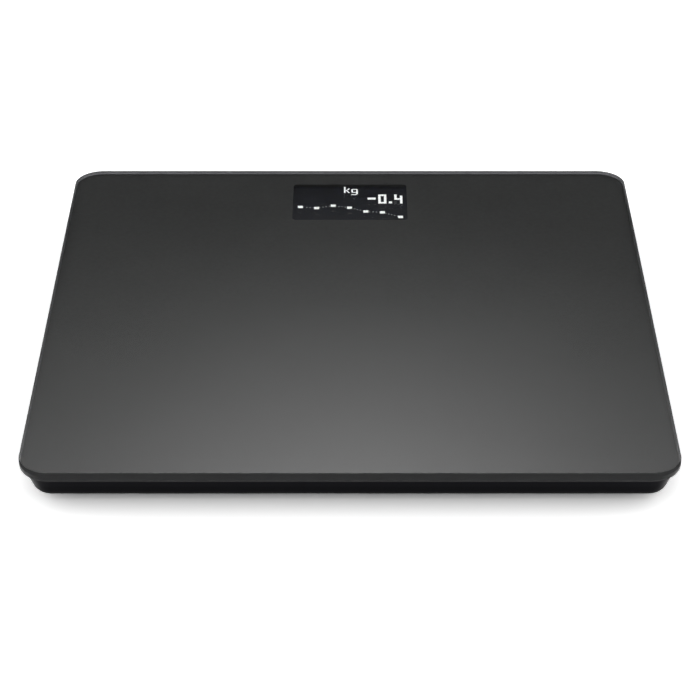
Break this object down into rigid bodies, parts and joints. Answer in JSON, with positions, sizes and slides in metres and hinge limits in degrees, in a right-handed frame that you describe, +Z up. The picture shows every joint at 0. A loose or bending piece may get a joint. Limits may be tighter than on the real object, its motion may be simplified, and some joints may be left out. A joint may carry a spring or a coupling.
{
  "type": "digital bathroom scale",
  "caption": "Square glass-topped digital bathroom scale with a display under the rear edge, a slim moulded tray and four round feet.",
  "frame": {"origin": "middle of the footprint, on the floor that the feet stand on", "axes": "+Z up out of the platform, +Y from the standing edge towards the display, +X to the right of a person facing the display"},
  "size_m": [0.327, 0.327, 0.023],
  "materials": {
    "platform_glass": "polished, ground edges",
    "backing_print": "black print on the glass",
    "foam_tape": "black foam tape",
    "display_glass": "dark display glass",
    "flex_film": "amber film",
    "inner_plastic": "moulded",
    "tray_plastic": "fine satin grain",
    "board_laminate": "green solder mask",
    "shield_tin": "tinned",
    "chip_resin": "moulded resin",
    "socket_plastic": "natural nylon",
    "button_plastic": "satin",
    "lead_sheath": "flat lead sheath",
    "contact_steel": "nickel plated spring steel",
    "screw_steel": "zinc plated",
    "battery_sleeve": "plain printed sleeve",
    "foot_rubber": "matt rubber",
    "foot_plastic": "satin",
    "cell_steel": "nickel plated spring steel",
    "gauge_resin": "white resin"
  },
  "bodies": {
    "base": {"glass_plate": "platform_glass", "backing_film": "backing_print", "bonding_tape": "foam_tape", "display_gasket": "foam_tape", "display_panel": "display_glass", "display_flex": "flex_film", "display_bracket": "inner_plastic", "base_tray": "tray_plastic", "main_board": "board_laminate", "wifi_module": "shield_tin", "controller_chip": "chip_resin", "converter_chip": "chip_resin", "harness_sockets": "socket_plastic", "flex_socket": "socket_plastic", "switch_body": "chip_resin", "battery_lead": "lead_sheath", "contact_bridge_left": "contact_steel", "contact_bridge_right": "contact_steel", "contact_bridge_middle": "contact_steel", "contact_positive": "contact_steel", "contact_negative": "contact_steel", "board_screws": "screw_steel", "battery_1": "battery_sleeve", "battery_2": "battery_sleeve", "battery_3": "battery_sleeve", "battery_4": "battery_sleeve", "foot_pad_front_left": "foot_rubber", "foot_cap_front_left": "foot_plastic", "load_cell_front_left": "cell_steel", "strain_gauge_front_left": "gauge_resin", "cell_carrier_front_left": "inner_plastic", "cell_harness_front_left": "lead_sheath", "foot_pad_front_right": "foot_rubber", "foot_cap_front_right": "foot_plastic", "load_cell_front_right": "cell_steel", "strain_gauge_front_right": "gauge_resin", "cell_carrier_front_right": "inner_plastic", "cell_harness_front_right": "lead_sheath", "foot_pad_rear_left": "foot_rubber", "foot_cap_rear_left": "foot_plastic", "load_cell_rear_left": "cell_steel", "strain_gauge_rear_left": "gauge_resin", "cell_carrier_rear_left": "inner_plastic", "cell_harness_rear_left": "lead_sheath", "foot_pad_rear_right": "foot_rubber", "foot_cap_rear_right": "foot_plastic", "load_cell_rear_right": "cell_steel", "strain_gauge_rear_right": "gauge_resin", "cell_carrier_rear_right": "inner_plastic", "cell_harness_rear_right": "lead_sheath"},
    "button": {"pairing_button": "button_plastic", "switch_plunger": "socket_plastic"},
    "door": {"battery_door": "tray_plastic"}
  },
  "joints": [
    {"name": "pairing_button_press", "type": "slide", "parent": "base", "child": "button", "axis": [0, 0, 1], "range_m": [0, 0.0003], "stiffness_N_per_m": 4000},
    {"name": "battery_door_hinge", "type": "hinge", "parent": "base", "child": "door", "pos_m": [0, 0.0706, 0.0048], "axis": [1, 0, 0], "range_deg": [0, 95]}
  ]
}
